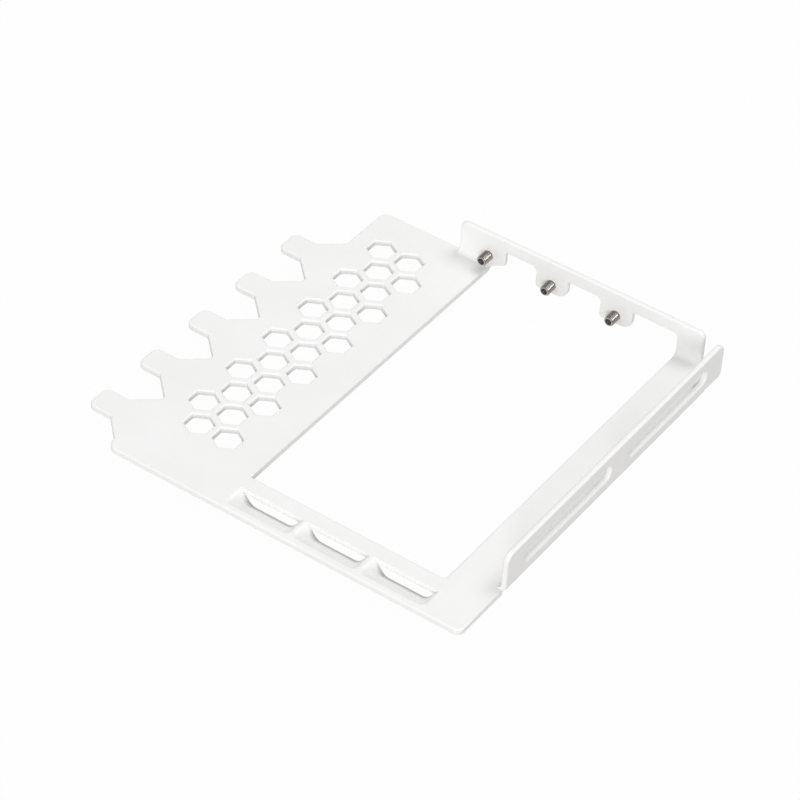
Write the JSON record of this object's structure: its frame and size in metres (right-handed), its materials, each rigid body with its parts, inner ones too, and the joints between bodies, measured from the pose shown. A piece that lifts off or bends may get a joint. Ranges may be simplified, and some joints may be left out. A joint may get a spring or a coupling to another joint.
{
  "type": "vertical graphics card mount",
  "caption": "White folded sheet bracket that holds a graphics card upright in a computer case: window, honeycomb vent, tongues, pressed louvers, studded back flange and slotted screw flange.",
  "frame": {"origin": "middle of the bounding box's underside, below the lips of the pressed louvers", "axes": "+X from the tongues to the screw flange, +Y from the louvers to the back flange, +Z out of the case, the way both flanges stand"},
  "size_m": [0.1226, 0.1214, 0.0176],
  "materials": {
    "white_coat": "satin white powder coat on steel sheet",
    "bright_plating": "bright zinc or nickel plated steel"
  },
  "bodies": {
    "root": {"bracket": "white_coat", "stud_left": "bright_plating", "stud_middle": "bright_plating", "stud_right": "bright_plating"}
  },
  "joints": []
}
